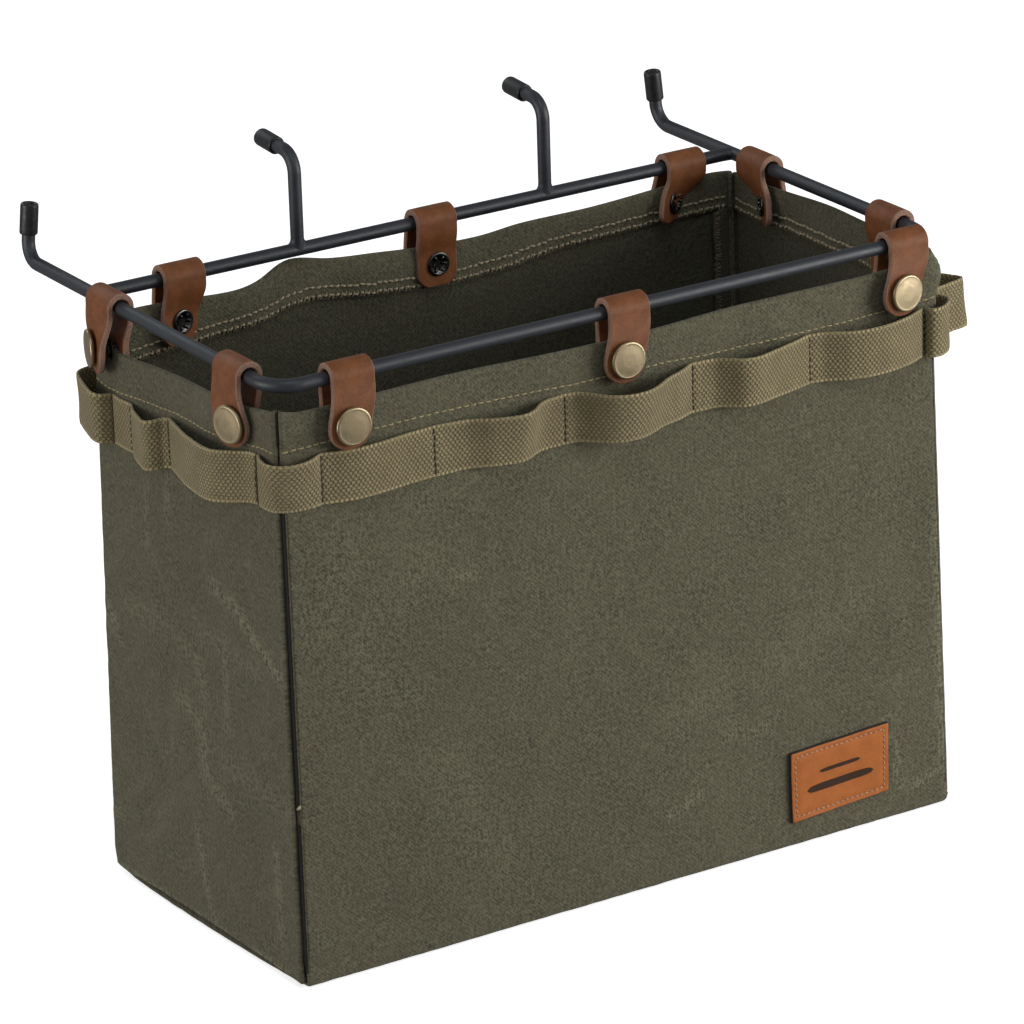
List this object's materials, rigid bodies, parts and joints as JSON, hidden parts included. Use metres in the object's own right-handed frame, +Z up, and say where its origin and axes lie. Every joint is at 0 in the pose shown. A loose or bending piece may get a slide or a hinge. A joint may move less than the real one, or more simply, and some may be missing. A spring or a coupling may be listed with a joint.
{
  "type": "hanging canvas storage bag",
  "caption": "Open-top canvas storage bag with webbing tool loops, hung by leather snap straps from a bent-rod frame whose hooks grip a rail or table edge.",
  "frame": {"origin": "centre of the bag's underside", "axes": "+Z up, +X along the front to the right as seen from the front, front faces -Y and the rail hooks point to +Y"},
  "size_m": [0.3367, 0.2113, 0.2802],
  "materials": {
    "black_steel": "satin black powder coat on steel rod",
    "black_rubber": "matte",
    "olive_canvas": "washed heavy cotton canvas, matte",
    "khaki_webbing": "coarse plain-woven cotton webbing",
    "brown_leather": "smooth, raw lighter edges",
    "tan_leather": "smooth tan, stitched border",
    "antique_brass": "brushed antique",
    "gunmetal": "dark plated"
  },
  "bodies": {
    "bag_and_frame": {"frame_rod": "black_steel", "back_crossbar": "black_steel", "top_hook_left": "black_steel", "top_hook_right": "black_steel", "tip_cap_side_left": "black_rubber", "tip_cap_side_right": "black_rubber", "tip_cap_top_left": "black_rubber", "tip_cap_top_right": "black_rubber", "canvas_wrap_panel": "olive_canvas", "canvas_left_panel": "olive_canvas", "canvas_right_panel": "olive_canvas", "webbing_front": "khaki_webbing", "webbing_right": "khaki_webbing", "webbing_back": "khaki_webbing", "webbing_left": "khaki_webbing", "leather_patch": "tan_leather", "strap_front_left_loop": "brown_leather", "strap_front_left_stud": "gunmetal", "strap_front_middle_loop": "brown_leather", "strap_front_middle_stud": "gunmetal", "strap_front_right_loop": "brown_leather", "strap_front_right_stud": "gunmetal", "strap_back_left_loop": "brown_leather", "strap_back_left_stud": "gunmetal", "strap_back_middle_loop": "brown_leather", "strap_back_middle_stud": "gunmetal", "strap_back_right_loop": "brown_leather", "strap_back_right_stud": "gunmetal", "strap_left_front_loop": "brown_leather", "strap_left_front_stud": "gunmetal", "strap_left_back_loop": "brown_leather", "strap_left_back_stud": "gunmetal", "strap_right_front_loop": "brown_leather", "strap_right_front_stud": "gunmetal", "strap_right_back_loop": "brown_leather", "strap_right_back_stud": "gunmetal"},
    "flap_front_left": {"strap_front_left_flap": "brown_leather", "strap_front_left_cap": "antique_brass"},
    "flap_front_middle": {"strap_front_middle_flap": "brown_leather", "strap_front_middle_cap": "antique_brass"},
    "flap_front_right": {"strap_front_right_flap": "brown_leather", "strap_front_right_cap": "antique_brass"},
    "flap_back_left": {"strap_back_left_flap": "brown_leather", "strap_back_left_cap": "antique_brass"},
    "flap_back_middle": {"strap_back_middle_flap": "brown_leather", "strap_back_middle_cap": "antique_brass"},
    "flap_back_right": {"strap_back_right_flap": "brown_leather", "strap_back_right_cap": "antique_brass"},
    "flap_left_front": {"strap_left_front_flap": "brown_leather", "strap_left_front_cap": "antique_brass"},
    "flap_left_back": {"strap_left_back_flap": "brown_leather", "strap_left_back_cap": "antique_brass"},
    "flap_right_front": {"strap_right_front_flap": "brown_leather", "strap_right_front_cap": "antique_brass"},
    "flap_right_back": {"strap_right_back_flap": "brown_leather", "strap_right_back_cap": "antique_brass"}
  },
  "joints": [
    {"name": "flap_front_left_hinge", "type": "hinge", "parent": "bag_and_frame", "child": "flap_front_left", "pos_m": [-0.1185, -0.0726, 0.2342], "axis": [-1, 0, 0], "range_deg": [0, 95]},
    {"name": "flap_front_middle_hinge", "type": "hinge", "parent": "bag_and_frame", "child": "flap_front_middle", "pos_m": [0.0015, -0.0726, 0.2342], "axis": [-1, 0, 0], "range_deg": [0, 95]},
    {"name": "flap_front_right_hinge", "type": "hinge", "parent": "bag_and_frame", "child": "flap_front_right", "pos_m": [0.128, -0.0726, 0.2342], "axis": [-1, 0, 0], "range_deg": [0, 95]},
    {"name": "flap_back_left_hinge", "type": "hinge", "parent": "bag_and_frame", "child": "flap_back_left", "pos_m": [-0.11, 0.0726, 0.2342], "axis": [1, 0, 0], "range_deg": [0, 95]},
    {"name": "flap_back_middle_hinge", "type": "hinge", "parent": "bag_and_frame", "child": "flap_back_middle", "pos_m": [0.0035, 0.0726, 0.2342], "axis": [1, 0, 0], "range_deg": [0, 95]},
    {"name": "flap_back_right_hinge", "type": "hinge", "parent": "bag_and_frame", "child": "flap_back_right", "pos_m": [0.1195, 0.0726, 0.2342], "axis": [1, 0, 0], "range_deg": [0, 95]},
    {"name": "flap_left_front_hinge", "type": "hinge", "parent": "bag_and_frame", "child": "flap_left_front", "pos_m": [-0.1516, -0.041, 0.2342], "axis": [0, 1, 0], "range_deg": [0, 95]},
    {"name": "flap_left_back_hinge", "type": "hinge", "parent": "bag_and_frame", "child": "flap_left_back", "pos_m": [-0.1516, 0.052, 0.2342], "axis": [0, 1, 0], "range_deg": [0, 95]},
    {"name": "flap_right_front_hinge", "type": "hinge", "parent": "bag_and_frame", "child": "flap_right_front", "pos_m": [0.1516, -0.041, 0.2342], "axis": [0, -1, 0], "range_deg": [0, 95]},
    {"name": "flap_right_back_hinge", "type": "hinge", "parent": "bag_and_frame", "child": "flap_right_back", "pos_m": [0.1516, 0.048, 0.2342], "axis": [0, -1, 0], "range_deg": [0, 95]}
  ]
}
